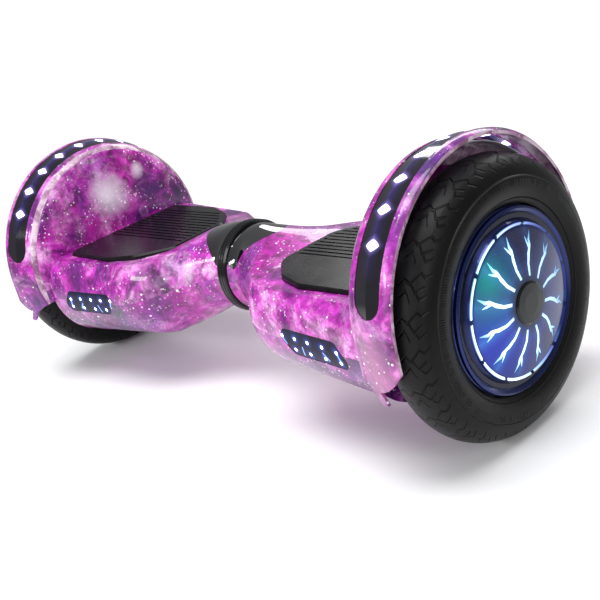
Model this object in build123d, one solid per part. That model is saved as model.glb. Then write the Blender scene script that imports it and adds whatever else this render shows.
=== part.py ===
"""Self-balancing two-wheel board with ten-inch wheels: an assembly of separate pieces, in millimetres.

The frame of the whole board stands on the floor under its middle. +X runs along the wheel axles to the
board's right wheel, +Z is up, and the front with the headlights faces -Y. Each side is built once for the
right half and mirrored for the left half. Heights named RISE are measured from the axle.
"""

import math
import os

from build123d import *

os.makedirs("parts", exist_ok=True)

# Wheels
TYRE_OD = 254.0
TYRE_HALF_WIDTH = 29.0
WHEEL_SPACING = 640.0
AXLE_RADIUS = 8.5
FLANGE_RADIUS = 82.5
FLANGE_HALF_WIDTH = 21.5
BEAD_RADIUS = 77.0
WELL_RADIUS = 71.0
RIM_BORE = 66.0
MAGNET_THICKNESS = 5.5
AIR_GAP = 0.8
BEARING_RADIUS = 17.5
BEARING_WIDTH = 10.0
HUB_DOME_RADIUS = 66.0
HUB_DOME_FOOT = 28.0
HUB_DOME_TOP = 38.0
CAP_RADIUS = 19.0
BOLT_COUNT = 12

# Shells
WALL = 3.0
SEAT = 0.04
RUNNING = 0.05
LOOSE = 0.5
END_SETBACK = 54.0
SHOULDER_TOP = (88.0, 29.0)
SHOULDER_SIDE = (103.0, -8.0)
SHOULDER_BASE = (56.0, -68.0)
WHEEL_TOP = (102.0, 31.0)
WHEEL_SIDE = (117.0, -7.0)
WHEEL_BASE = (71.0, -76.0)
TOP_CROWN = 1.6
SIDE_BULGE = 3.5
BELLY_BULGE = 13.0
CORNER_ANGLE = 50.0
WAIST_RADIUS = 47.0
WAIST_X = 26.0
SHOULDER_X = 118.0
PIVOT_RISE = 4.5
JOINT_GAP = 13.0
TRIM_LENGTH = 52.0
TRIM_HALF_WIDTH = 43.0
TRIM_DEPTH = 1.5

# Wheel arch, measured from its own centre line
ARCH_RISE = 11.0
ARCH_CLEARANCE = 9.5
STRIP_INNER = 40.0
STRIP_OUTER = 3.0
LIP_OUT = 5.0
DOME_DEPTH = 10.0
LEG_REACH = 38.0
STRIP_START_ANGLE = 18.5
COVER_THICKNESS = 2.0
LED_COUNT = 9
LED_START_ANGLE = 37.2

# Foot pad
PAD_RISE = 35.0
PAD_THICKNESS = 6.5
PAD_TRAVEL = 2.0
PAD_HALF_WIDTH = 84.0
PAD_INNER_X = 93.0
PAD_CORNER = 12.0
PAD_NOSE = 22.0
GROOVE_COUNT = 12
GROOVE_PITCH = 7.6
GROOVE_WIDTH = 2.6
GROOVE_DEPTH = 1.8
PLUNGER_RADIUS = 3.5
PLUNGER_Y = 52.0

# Headlight
LAMP_LENGTH = 108.0
LAMP_HEIGHT = 27.0
LAMP_SLANT = 20.0
LAMP_RISE = -15.0

# Frame, power and electronics
DECK_RISE = -18.0
DECK_THICKNESS = 4.0
DECK_HALF_WIDTH = 66.0
BOSS_RADIUS = 24.0
SHAFT_RADIUS = 14.0
SHAFT_BORE = 9.5
BUSH_WALL = 3.0
BUSH_LENGTH = 14.0
BOSS_START = 12.0
BOSS_END = 62.0
THRUST_RADIUS = 18.0
CLAMP_LENGTH = 40.0
CLAMP_HALF_WIDTH = 26.0
CLAMP_BOLT_RADIUS = 3.0
SCREW_RADIUS = 1.6
POST_RADIUS = 4.5
POST_Y = 58.0
CELL_RADIUS = 9.1
CELL_LENGTH = 65.0
CELL_PITCH = 18.6
CASE_WALL = 1.6
CASE_GAP = 1.0
PORT_X = 150.0
PORT_RISE = -31.0
PORT_BOSS_RADIUS = 13.0
PORT_BORE = 8.0
SOCKET_BORE = 6.0
BUTTON_TRAVEL = 1.5
HINGE_RISE = 13.0
HINGE_RADIUS = 2.2
CAP_GAP = 0.3

AXLE_Z = TYRE_OD / 2
WHEEL_X = WHEEL_SPACING / 2
BODY_END = WHEEL_X - END_SETBACK
PIVOT_Z = AXLE_Z + PIVOT_RISE
ARCH_Z = AXLE_Z + ARCH_RISE
ARCH_RADIUS = AXLE_Z + ARCH_CLEARANCE
LIP_RADIUS = ARCH_RADIUS - 2.5
RIM_RADIUS = ARCH_RADIUS - 7.0
DOME_RADIUS = RIM_RADIUS - 16.0
HALF_START = JOINT_GAP / 2
PAD_TOP = AXLE_Z + PAD_RISE
PAD_OUTER_X = BODY_END - DOME_DEPTH - 1.0
TRAY_FLOOR = PAD_TOP - PAD_THICKNESS - PAD_TRAVEL - LOOSE
LAMP_X = (SHOULDER_X + BODY_END) / 2 + 4.0
LAMP_Z = AXLE_Z + LAMP_RISE
SEAM_Z = LAMP_Z + 2.0
DECK_TOP = AXLE_Z + DECK_RISE
DECK_BASE = DECK_TOP - DECK_THICKNESS
PORT_Z = AXLE_Z + PORT_RISE
CLAMP_END = BODY_END - 14.0
POST_X = (SHOULDER_X - 34.0, BODY_END - 22.0)
PLUNGER_X = CLAMP_END - CLAMP_LENGTH - 14.0


def mix(a, b, t):
    return a + (b - a) * t


def smooth(t):
    t = min(1.0, max(0.0, t))
    return t * t * (3 - 2 * t)


def disc(x0, x1, radius, y=0.0, z=AXLE_Z):
    """A cylinder along X from x0 to x1."""
    return Pos((x0 + x1) / 2, y, z) * Rot(0, 90, 0) * Cylinder(radius, abs(x1 - x0))


def ring(x0, x1, outer, inner, y=0.0, z=AXLE_Z):
    return disc(x0, x1, outer, y, z) - disc(x0 - 1, x1 + 1, inner, y, z)


def rod_y(y0, y1, radius, x, z):
    """A cylinder along Y from y0 to y1."""
    return Pos(x, (y0 + y1) / 2, z) * Rot(90, 0, 0) * Cylinder(radius, abs(y1 - y0))


def rod_z(z0, z1, radius, x, y):
    return Pos(x, y, (z0 + z1) / 2) * Cylinder(radius, abs(z1 - z0))


def block(x0, x1, y0, y1, z0, z1):
    return Pos((x0 + x1) / 2, (y0 + y1) / 2, (z0 + z1) / 2) * Box(x1 - x0, y1 - y0, z1 - z0)


def joined(shapes):
    """All the shapes fused in one go."""
    shapes = list(shapes)
    return shapes[0].fuse(*shapes[1:]) if len(shapes) > 1 else shapes[0]


def closed(points):
    """A closed line through points given as position along X and radius."""
    return Polyline(*[(x, 0, r) for x, r in points], close=True)


def lathe(points, axis_z=AXLE_Z):
    """A closed profile of (x, radius) points turned full round about the X line at height axis_z."""
    return turned(make_face(closed(points)), axis_z, 0, 360)


def turned(face, axis_z, start, sweep):
    """Turns a face of (x, 0, radius) from start degrees past the front horizon, up and over by sweep."""
    placed = Pos(0, 0, axis_z) * Rot(90 - start, 0, 0) * face
    return revolve(placed, Axis((0, 0, axis_z), (1, 0, 0)), -sweep)


def about_axle(shape, angle, axis_z=AXLE_Z):
    """The shape turned by angle about the X line at height axis_z."""
    return Pos(0, 0, axis_z) * Rot(angle, 0, 0) * Pos(0, 0, -axis_z) * shape


# Platform body: one loft through sections that grow from a round waist to a wide platform


def section_points(x, inset):
    """The top corner, widest point and base corner of the section at x, and how far its arcs bulge."""
    flare = smooth((x - WAIST_X) / (SHOULDER_X - WAIST_X))
    along = min(1.0, max(0.0, (x - SHOULDER_X) / (BODY_END - SHOULDER_X)))
    corner = math.radians(CORNER_ANGLE)
    round_y, round_z = WAIST_RADIUS * math.sin(corner), WAIST_RADIUS * math.cos(corner)
    top, side, base = [
        [mix(a, b, along) for a, b in zip(inner_end, wheel_end)]
        for inner_end, wheel_end in (
            (SHOULDER_TOP, WHEEL_TOP), (SHOULDER_SIDE, WHEEL_SIDE), (SHOULDER_BASE, WHEEL_BASE)
        )
    ]
    cap_rise = WAIST_RADIUS * (1 - math.cos(corner))
    side_rise = WAIST_RADIUS * (1 - math.cos((math.pi / 2 - corner) / 2))
    top_point = (mix(round_y, top[0], flare) - 0.7 * inset,
                 mix(PIVOT_Z + round_z, AXLE_Z + top[1], flare) - inset)
    side_point = (mix(WAIST_RADIUS, side[0], flare) - inset, mix(PIVOT_Z, AXLE_Z + side[1], flare))
    base_point = (mix(round_y, base[0], flare) - 0.7 * inset,
                  mix(PIVOT_Z - round_z, AXLE_Z + base[1], flare) + inset)
    rises = (
        mix(cap_rise, TOP_CROWN, flare), mix(side_rise, SIDE_BULGE, flare),
        mix(side_rise, BELLY_BULGE, flare),
    )
    return top_point, side_point, base_point, rises


def bulged(a, b, rise):
    """An arc from a to b in section that stands out by rise to the right of the way from a to b."""
    dy, dz = b[0] - a[0], b[1] - a[1]
    length = math.hypot(dy, dz)
    middle = ((a[0] + b[0]) / 2 + rise * dz / length, (a[1] + b[1]) / 2 - rise * dy / length)
    return ThreePointArc(a, middle, b)


def section(x, inset):
    """The closed outline of the platform at x, drawn in by inset."""
    top, side, base, (cap, upper, lower) = section_points(x, inset)
    corners = [base, side, top] + [(-p[0], p[1]) for p in (top, side, base)]
    rises = [lower, upper, cap, upper, lower, cap]
    arcs = [bulged(corners[i], corners[(i + 1) % 6], rises[i]) for i in range(6)]
    return (Plane(origin=(x, 0, 0), x_dir=(0, 1, 0), z_dir=(1, 0, 0)) * Wire(arcs)).wires()[0]


def body_solid(x0, x1, inset):
    """The platform between two stations, drawn in by inset all round."""
    count = 11
    stations = [mix(HALF_START, BODY_END, k / count) for k in range(count + 1)]
    whole = Solid.make_loft([section(x, inset) for x in stations])
    if x0 <= HALF_START and x1 >= BODY_END:
        return whole
    return whole & block(x0, x1, -200, 200, -50, 400)


def pad_outline(grow=0.0):
    """The foot pad seen from above: wide at the wheel, narrowing in two steps towards the waist."""
    half, outer, inner = PAD_HALF_WIDTH, PAD_OUTER_X, PAD_INNER_X
    front = [(outer, -half), (inner + 72, -half), (inner + 35, -half * 0.84), (inner, -half * 0.46)]
    outline = Polyline(*front, *[(x, -y) for x, y in reversed(front)], close=True)
    face = make_face(outline)
    face = fillet(face.vertices().filter_by_position(Axis.X, 0, outer - 1), PAD_NOSE)
    face = fillet(face.vertices().group_by(Axis.X)[-1], PAD_CORNER)
    return offset(face, grow) if grow else face


def lamp_outline(grow=0.0):
    """The headlight seen from the front: a rounded bar with slanted ends."""
    half, tall = LAMP_LENGTH / 2, LAMP_HEIGHT / 2
    outline = Polyline(
        (LAMP_X - half, LAMP_Z + tall), (LAMP_X + half - LAMP_SLANT, LAMP_Z + tall),
        (LAMP_X + half, LAMP_Z - tall), (LAMP_X - half + LAMP_SLANT, LAMP_Z - tall),
        close=True,
    )
    face = fillet(make_face(outline).vertices(), LAMP_HEIGHT * 0.3)
    return offset(face, grow) if grow else face


def lamp_prism(grow=0.0):
    """The headlight outline carried through the front wall."""
    return extrude(Plane.XZ.offset(70) * lamp_outline(grow), 90)


def above_seam():
    """Everything above the parting line, which climbs from the headlight to the waist."""
    far = BODY_END + 80
    line = [(-5, PIVOT_Z), (WAIST_X, PIVOT_Z), (LAMP_X - LAMP_LENGTH * 0.6, SEAM_Z), (far, SEAM_Z)]
    face = make_face(Polyline(*line, (far, 400), (-5, 400), close=True))
    return extrude(Plane.XZ.offset(-200) * face, 400)


def trim_prism():
    """The rounded patch, seen from above, of the gloss panel on top of the waist."""
    return Pos(0, 0, PIVOT_Z + 8) * extrude(Ellipse(TRIM_LENGTH, TRIM_HALF_WIDTH), 80)


# Wheel arch


def arch_profile(inset):
    """The dome and arch in section, from the middle of the dome out to the lip, drawn in by inset."""
    strip_in, strip_out = WHEEL_X - STRIP_INNER, WHEEL_X - STRIP_OUTER
    apex, lip = BODY_END + 1 - DOME_DEPTH, WHEEL_X + LIP_OUT
    dome = ThreePointArc(
        (apex + inset, 0, 0.01), (mix(apex, BODY_END + 1, 0.3) + inset, 0, DOME_RADIUS * 0.55),
        (BODY_END + 1 + inset, 0, DOME_RADIUS),
    )
    shoulder = ThreePointArc(
        dome @ 1, (BODY_END + 5 + 0.7 * inset, 0, RIM_RADIUS - 4 - 0.7 * inset),
        (strip_in, 0, RIM_RADIUS - inset),
    )
    strip = ThreePointArc(
        shoulder @ 1, ((strip_in + strip_out) / 2, 0, mix(RIM_RADIUS, ARCH_RADIUS, 0.62) - inset + 0.8),
        (strip_out, 0, ARCH_RADIUS - inset),
    )
    brim = ThreePointArc(
        strip @ 1, ((strip_out + lip) / 2 + 1, 0, ARCH_RADIUS - 0.4 - inset), (lip, 0, LIP_RADIUS - inset)
    )
    return [dome, shoulder, strip, brim]


def arch_face():
    outer, inner = arch_profile(0), arch_profile(WALL)
    lip = Line(outer[3] @ 1, inner[3] @ 1)
    middle = Line(inner[0] @ 0, outer[0] @ 0)
    return make_face([*outer, lip, *inner, middle])


def leg_region():
    """Side view of the two legs beside the tyre, narrowing to a small pointed tail."""
    lip, top = WHEEL_X + LIP_OUT + 5, ARCH_Z + 1
    foot = ARCH_Z - LEG_REACH
    side = ThreePointArc((lip, 0, foot + 40), (lip - 9, 0, foot + 14), (lip - 32, 0, foot))
    outline = Polyline(
        (lip - 32, 0, foot), (lip - 25, 0, foot - 11), (lip - 30, 0, foot - 13), (lip - 42, 0, foot),
        (BODY_END + 0.3, 0, foot + 10), (BODY_END + 0.3, 0, top), (lip, 0, top), (lip, 0, foot + 40),
    )
    return extrude(make_face([outline, side]), 250, both=True, dir=(0, 1, 0))


def arch_solid():
    """The half round of the arch with its dome, and the two legs that run on down beside the tyre."""
    half = turned(arch_face(), ARCH_Z, 0, 180)
    section_down = Pos(0, 0, ARCH_Z) * Rot(90, 0, 0) * arch_face()
    leg = extrude(section_down, LEG_REACH + 14, dir=(0, 0, -1)) & leg_region()
    leg -= block(BODY_END - 50, WHEEL_X + 50, -DOME_RADIUS + 16, 1, -50, ARCH_Z + 5)
    return joined([half, leg, mirror(leg, Plane.XZ)])


def light_band(grow, top_drop, base_drop):
    """The strip let into the arch's skin between two depths, with round ends."""
    x0, x1 = WHEEL_X - STRIP_INNER + 2 - grow, WHEEL_X - STRIP_OUTER - 2 + grow
    half_width, middle_x = (x1 - x0) / 2, (x0 + x1) / 2
    radii = (RIM_RADIUS + 0.4, mix(RIM_RADIUS, ARCH_RADIUS, 0.62) + 0.8, ARCH_RADIUS - 0.4)
    top = [(x, r - top_drop) for x, r in zip((x0, middle_x, x1), radii)]
    base = [(x, r - base_drop) for x, r in zip((x1, middle_x, x0), reversed(radii))]
    face = make_face(closed(top + base))
    lead = math.degrees(half_width / radii[0]) + 1
    straight = turned(face, ARCH_Z, STRIP_START_ANGLE, 180 - 2 * STRIP_START_ANGLE)
    end = turned(face, ARCH_Z, STRIP_START_ANGLE - lead, lead)
    radial = Pos(middle_x, 0, ARCH_Z) * Rot(90 - STRIP_START_ANGLE, 0, 0) * Pos(0, 0, ARCH_RADIUS)
    end &= radial * Cylinder(half_width, 40)
    return joined([straight, end, mirror(end, Plane.XZ)])


def arch_led_strip():
    """A thin flexible board under the light cover, with one chip for each light."""
    x0, x1 = WHEEL_X - STRIP_INNER + 9, WHEEL_X - STRIP_OUTER - 9
    radius = RIM_RADIUS - WALL - 0.6
    step = (180 - 2 * LED_START_ANGLE) / (LED_COUNT - 1)
    tape = make_face(closed([(x0, radius), (x1, radius), (x1, radius - 0.8), (x0, radius - 0.8)]))
    strip = [turned(tape, ARCH_Z, LED_START_ANGLE - 3, 186 - 2 * LED_START_ANGLE)]
    chip = Pos((x0 + x1) / 2, 0, ARCH_Z + radius + 0.4) * Box(5, 5, 1.6)
    strip += [about_axle(chip, 90 - LED_START_ANGLE - step * k, ARCH_Z) for k in range(LED_COUNT)]
    return joined(strip)


def pivot_opening():
    return disc(HALF_START - 1, HALF_START + WALL + 1, BOSS_RADIUS - 3, z=PIVOT_Z)


def upper_shell(outer, inner, skin):
    """Platform top, dome and wheel arch in one moulding, with a tray for the pad and a seat for the trim."""
    shell = (outer & above_seam()) - inner
    tray = extrude(Pos(0, 0, TRAY_FLOOR - WALL) * pad_outline(WALL), 20) & outer
    shell = joined([shell, tray, arch_solid()])
    cuts = [extrude(Pos(0, 0, TRAY_FLOOR) * pad_outline(LOOSE), 30)]
    for y in (-PLUNGER_Y, PLUNGER_Y):
        cuts.append(rod_z(TRAY_FLOOR - 10, TRAY_FLOOR + 5, PLUNGER_RADIUS + 0.6, PLUNGER_X, y))
    cuts.append(trim_prism() - skin)
    cuts.append(light_band(0.2, -3.0, COVER_THICKNESS + 0.2))
    led_room = [
        (WHEEL_X - STRIP_INNER + 8, RIM_RADIUS + 3), (WHEEL_X - STRIP_OUTER - 8, RIM_RADIUS + 3),
        (WHEEL_X - STRIP_OUTER - 8, RIM_RADIUS - 8), (WHEEL_X - STRIP_INNER + 8, RIM_RADIUS - 8),
    ]
    first = STRIP_START_ANGLE + 1
    cuts.append(turned(make_face(closed(led_room)), ARCH_Z, first, 180 - 2 * first))
    cuts.append(disc(BODY_END - 30, BODY_END + 20, AXLE_RADIUS + 8))
    cuts.append(pivot_opening())
    cuts.append(lamp_prism(0.25))
    return shell.cut(*cuts)


def waist_trim(outer, skin):
    """Gloss panel let into the top of the waist."""
    return ((outer & trim_prism()) & above_seam()) - skin


def lower_shell(outer, inner):
    """The belly with its screw posts and the round boss at the back for the port."""
    posts = []
    for x in POST_X:
        for y in (-POST_Y, POST_Y):
            posts.append(rod_z(AXLE_Z - 90, DECK_BASE, POST_RADIUS, x, y))
    boss = rod_y(88, port_face(), PORT_BOSS_RADIUS, PORT_X, PORT_Z)
    hollow = (outer - above_seam()) - inner
    shell = joined([hollow, *[post & outer for post in posts], boss])
    cuts = [lamp_prism(0.25), pivot_opening(), disc(BODY_END - 30, BODY_END + 20, AXLE_RADIUS + 8)]
    for x in POST_X:
        for y in (-POST_Y, POST_Y):
            cuts.append(rod_z(AXLE_Z - 90, DECK_TOP, SCREW_RADIUS + 0.1, x, y))
            cuts.append(rod_z(AXLE_Z - 90, screw_seat(x), SCREW_RADIUS * 2.2 + 0.2, x, y))
    cuts.append(rod_y(port_face() - 14.5, port_face() + 5, PORT_BORE + 0.3, PORT_X, PORT_Z))
    cuts.append(rod_y(70, port_face(), PORT_BORE - 2, PORT_X, PORT_Z))
    return shell.cut(*cuts)


def port_face():
    """How far back the flat face of the port boss stands."""
    top, side, base, rises = section_points(PORT_X, 0)
    return side[0] + 1.5


def screw_seat(x):
    """The height of the screw head's seat inside the post at x."""
    top, side, base, rises = section_points(x, 0)
    return mix(base[1], side[1], 0.12) + 7.0


def headlight_lens():
    """Clear cover let into the front wall, a hair below the surface."""
    front, back = body_solid(-1, BODY_END + 1, 0.4), body_solid(-1, BODY_END + 1, 2.4)
    return (front & lamp_prism(0)) - back


def headlight_board():
    """Upright board behind the lens: two rows of four lights with a bar between, on a foot on the deck."""
    y = -(SHOULDER_TOP[0] - 4)
    board = block(LAMP_X - 44, LAMP_X + 44, y, y + 1.6, DECK_TOP, LAMP_Z + 12)
    foot = block(LAMP_X - 14, LAMP_X + 14, y, -DECK_HALF_WIDTH + 5, DECK_TOP, DECK_TOP + 1.6)
    pieces = [board, foot]
    for k in range(4):
        x = LAMP_X - 33 + 22 * k
        for z in (LAMP_Z - 6.5, LAMP_Z + 6.5):
            pieces.append(block(x - 2.5, x + 2.5, y - 2, y, z - 2.5, z + 2.5))
        pieces.append(block(x + 4, x + 14, y - 1.2, y, LAMP_Z - 1, LAMP_Z + 1))
    return joined(pieces)


def foot_pad():
    """Ribbed rubber pad with a bevelled edge and two plungers that press the sensor switches."""
    plate = extrude(Pos(0, 0, PAD_TOP - PAD_THICKNESS) * pad_outline(), PAD_THICKNESS)
    rim_edges = plate.edges().group_by(Axis.Z)[-1]
    plate = chamfer(rim_edges, 2.0)
    groove_region = extrude(Pos(0, 0, PAD_TOP - GROOVE_DEPTH) * pad_outline(-7.0), GROOVE_DEPTH + 1)
    bars = []
    for k in range(GROOVE_COUNT):
        y = PAD_HALF_WIDTH - 22 - GROOVE_PITCH * k
        bars.append(block(PAD_INNER_X, PAD_OUTER_X, y, y + GROOVE_WIDTH, PAD_TOP - 10, PAD_TOP + 10))
    grooves = groove_region & joined(bars)
    plate = plate - grooves
    plungers = [
        rod_z(TRAY_FLOOR - 9, PAD_TOP - PAD_THICKNESS + 1, PLUNGER_RADIUS, PLUNGER_X, y)
        for y in (-PLUNGER_Y, PLUNGER_Y)
    ]
    return joined([plate, *plungers])


def sensor_board():
    """Board on four legs on the deck, with a switch below each plunger."""
    top = TRAY_FLOOR - 9 - PAD_TRAVEL - 6
    pieces = [block(PLUNGER_X - 11, PLUNGER_X + 11, -PLUNGER_Y - 9, PLUNGER_Y + 9, top - 1.6, top)]
    for y in (-PLUNGER_Y, PLUNGER_Y):
        pieces.append(block(PLUNGER_X - 4, PLUNGER_X + 4, y - 4, y + 4, top, top + 4.5))
        for x in (PLUNGER_X - 8, PLUNGER_X + 8):
            pieces.append(rod_z(DECK_TOP, top - 1, 2.5, x, y + math.copysign(5, y)))
    return joined(pieces)


# Metal frame


def clamp_holes(z0, z1, radius):
    x_mid = CLAMP_END - CLAMP_LENGTH / 2
    return [
        rod_z(z0, z1, radius, x_mid + dx * CLAMP_LENGTH * 0.3, dy * CLAMP_HALF_WIDTH * 0.7)
        for dx in (-1, 1) for dy in (-1, 1)
    ]


def frame(bore):
    """Deck plate with the pivot boss at the waist and the axle seat at the wheel end."""
    half = DECK_HALF_WIDTH
    start, shoulder = BOSS_END - 2, SHOULDER_X - 34
    front = [(start, -half * 0.55), (shoulder - 6, -half * 0.93), (shoulder + 6, -half), (BODY_END - 8, -half)]
    outline = Polyline(*front, *[(x, -y) for x, y in reversed(front)], close=True)
    plate = extrude(Pos(0, 0, DECK_BASE) * make_face(outline), DECK_THICKNESS)
    web = block(BOSS_START, BOSS_END + 20, -13, 13, DECK_BASE, PIVOT_Z - 8)
    tie = block(BOSS_END, BOSS_END + 34, -13, 13, DECK_BASE, PIVOT_Z - 8)
    gusset = make_face(closed([(BOSS_END - 8, PIVOT_Z), (BOSS_END + 60, DECK_TOP), (BOSS_END - 8, DECK_TOP)]))
    rib = extrude(gusset, 6, both=True, dir=(0, 1, 0))
    boss = disc(BOSS_START, BOSS_END, BOSS_RADIUS, z=PIVOT_Z)
    seat = block(CLAMP_END - CLAMP_LENGTH, CLAMP_END, -CLAMP_HALF_WIDTH, CLAMP_HALF_WIDTH, DECK_BASE, AXLE_Z)
    solid = joined([plate, web, tie, rib, boss, seat])
    cuts = [
        disc(BOSS_START - 1, BOSS_END + 1, bore, z=PIVOT_Z),
        disc(BOSS_END, BOSS_END + 80, THRUST_RADIUS + 1.5, z=PIVOT_Z),
        disc(CLAMP_END - CLAMP_LENGTH - 1, CLAMP_END + 1, AXLE_RADIUS + SEAT / 2),
    ]
    cuts += clamp_holes(AXLE_Z - 16, AXLE_Z + 1, CLAMP_BOLT_RADIUS + SEAT)
    for x in POST_X:
        for y in (-POST_Y, POST_Y):
            cuts.append(rod_z(DECK_BASE - 1, DECK_TOP + 1, SCREW_RADIUS + SEAT, x, y))
    return solid.cut(*cuts)


def axle_clamp():
    base = AXLE_Z + 0.6
    cap = block(CLAMP_END - CLAMP_LENGTH, CLAMP_END, -CLAMP_HALF_WIDTH, CLAMP_HALF_WIDTH, base, base + 13)
    bore = disc(CLAMP_END - CLAMP_LENGTH - 1, CLAMP_END + 1, AXLE_RADIUS + SEAT / 2)
    return cap.cut(bore, *clamp_holes(base - 1, base + 14, CLAMP_BOLT_RADIUS + 0.2))


def clamp_bolts():
    """Four socket-head bolts that hold the clamp down on the axle."""
    seat = AXLE_Z + 0.6 + 13
    shanks = clamp_holes(AXLE_Z - 14, seat + 2, CLAMP_BOLT_RADIUS)
    heads = clamp_holes(seat, seat + 5, CLAMP_BOLT_RADIUS * 1.7)
    sockets = clamp_holes(seat + 2.5, seat + 6, CLAMP_BOLT_RADIUS * 0.8)
    return Compound([(shank + head - socket).solids()[0] for shank, head, socket in zip(shanks, heads, sockets)])


def shell_screws():
    """Four screws that hold the belly up against the deck."""
    screws = []
    for x in POST_X:
        for y in (-POST_Y, POST_Y):
            seat = screw_seat(x)
            screw = rod_z(seat - 1, DECK_TOP - 0.5, SCREW_RADIUS, x, y)
            screw += rod_z(seat - 2.6, seat, SCREW_RADIUS * 2.2, x, y)
            screw -= rod_z(seat - 3, seat - 1.4, SCREW_RADIUS * 0.8, x, y)
            screws.append(screw.solids()[0])
    return Compound(screws)


# Wheel: everything here is placed by its offset from the wheel's middle


def at_wheel(points):
    return [(WHEEL_X + x, r) for x, r in points]


def axle():
    """Fixed axle with a flat wrench face and a shoulder that carries the motor core."""
    rod = disc(CLAMP_END - CLAMP_LENGTH - 8, WHEEL_X + 25, AXLE_RADIUS)
    flats = [
        block(CLAMP_END - CLAMP_LENGTH - 9, CLAMP_END - CLAMP_LENGTH - 2, -20, 20, z0, z0 + 10)
        for z0 in (AXLE_Z + AXLE_RADIUS - 1.5, AXLE_Z - AXLE_RADIUS - 8.5)
    ]
    return rod.cut(*flats)


def stator():
    """Motor core with eighteen wound teeth."""
    count = 18
    tip = RIM_BORE - MAGNET_THICKNESS - AIR_GAP
    core = ring(WHEEL_X - 10, WHEEL_X + 5, 36, AXLE_RADIUS + SEAT / 2)
    tooth = Pos(WHEEL_X - 2.5, 0, AXLE_Z + (34 + tip) / 2) * Box(15, 4.5, tip - 34)
    winding = Pos(WHEEL_X - 2.5, 0, AXLE_Z + 45.5) * Box(20, 8.2, 16)
    shoe = ring(WHEEL_X - 10, WHEEL_X + 5, tip, tip - 2.5)
    shoe &= Pos(WHEEL_X - 2.5, 0, AXLE_Z + tip) * Box(15, 16, 20)
    pieces = [core]
    for k in range(count):
        pieces += [about_axle(shape, 360 * k / count) for shape in (tooth, winding, shoe)]
    return joined(pieces)


def magnet_ring():
    return ring(WHEEL_X - 11, WHEEL_X + 6, RIM_BORE - SEAT / 2, RIM_BORE - MAGNET_THICKNESS)


def rim():
    """Wheel shell: flanges and bead seats outside, the magnet bore inside, and the outer end wall."""
    f = FLANGE_HALF_WIDTH
    barrel = lathe(at_wheel([
        (-f, RIM_BORE), (-f, FLANGE_RADIUS - 1.5), (-f + 1.2, FLANGE_RADIUS), (-f + 2.8, FLANGE_RADIUS),
        (-f + 3.5, BEAD_RADIUS), (-11, BEAD_RADIUS - 0.6), (-8, WELL_RADIUS), (8, WELL_RADIUS),
        (11, BEAD_RADIUS - 0.6), (f - 3.5, BEAD_RADIUS), (f - 2.8, FLANGE_RADIUS),
        (f - 1.2, FLANGE_RADIUS), (f, FLANGE_RADIUS - 1.5), (f, RIM_BORE),
    ]))
    wall = ring(WHEEL_X + 8, WHEEL_X + 12, RIM_BORE + 2, BEARING_RADIUS + SEAT / 2)
    boss = ring(WHEEL_X + 8, WHEEL_X + 8 + BEARING_WIDTH + 1, BEARING_RADIUS + 5, BEARING_RADIUS + SEAT / 2)
    return joined([barrel, wall, boss])


def motor_cover():
    """End plate on the board's side of the wheel, with the inner bearing's seat."""
    plate = ring(WHEEL_X - 18, WHEEL_X - 14, RIM_BORE - SEAT / 2, BEARING_RADIUS + SEAT / 2)
    lip = ring(WHEEL_X - 25, WHEEL_X - FLANGE_HALF_WIDTH - SEAT, RIM_BORE + 5, RIM_BORE - 6)
    skirt = ring(WHEEL_X - 25, WHEEL_X - 14, RIM_BORE - 1, RIM_BORE - 6)
    boss = ring(WHEEL_X - 25, WHEEL_X - 14, BEARING_RADIUS + 5, BEARING_RADIUS + SEAT / 2)
    cover = joined([plate, lip, skirt, boss])
    return cover.cut(*[around(k, 8, RIM_BORE - 3.5, WHEEL_X - 26, WHEEL_X - 13, 1.6) for k in range(8)])


def around(k, count, orbit, x0, x1, radius):
    """The k-th of count rods along X on a circle about the axle."""
    return about_axle(disc(x0, x1, radius, z=AXLE_Z + orbit), 360 * (k + 0.5) / count)


def hub_screws():
    """Eight screws round the motor cover."""
    screws = []
    for k in range(8):
        screw = around(k, 8, RIM_BORE - 3.5, WHEEL_X - 25, WHEEL_X - 13.5, 1.55)
        screw += around(k, 8, RIM_BORE - 3.5, WHEEL_X - 27.2, WHEEL_X - 25, 2.9)
        screw -= around(k, 8, RIM_BORE - 3.5, WHEEL_X - 27.5, WHEEL_X - 26, 1.3)
        screws.append(screw.solids()[0])
    return Compound(screws)


def wheel_bearings():
    """Two ball bearings; each is drawn as one ring with sunk faces between its races."""
    rings = []
    for x0 in (WHEEL_X - 25, WHEEL_X + 8):
        bearing = ring(x0, x0 + BEARING_WIDTH, BEARING_RADIUS, AXLE_RADIUS + RUNNING)
        grooves = [ring(x0 + dx, x0 + dx + 1.2, 14.6, 11.4) for dx in (-0.6, BEARING_WIDTH - 0.6)]
        rings.append(bearing.cut(*grooves).solids()[0])
    return Compound(rings)


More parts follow.
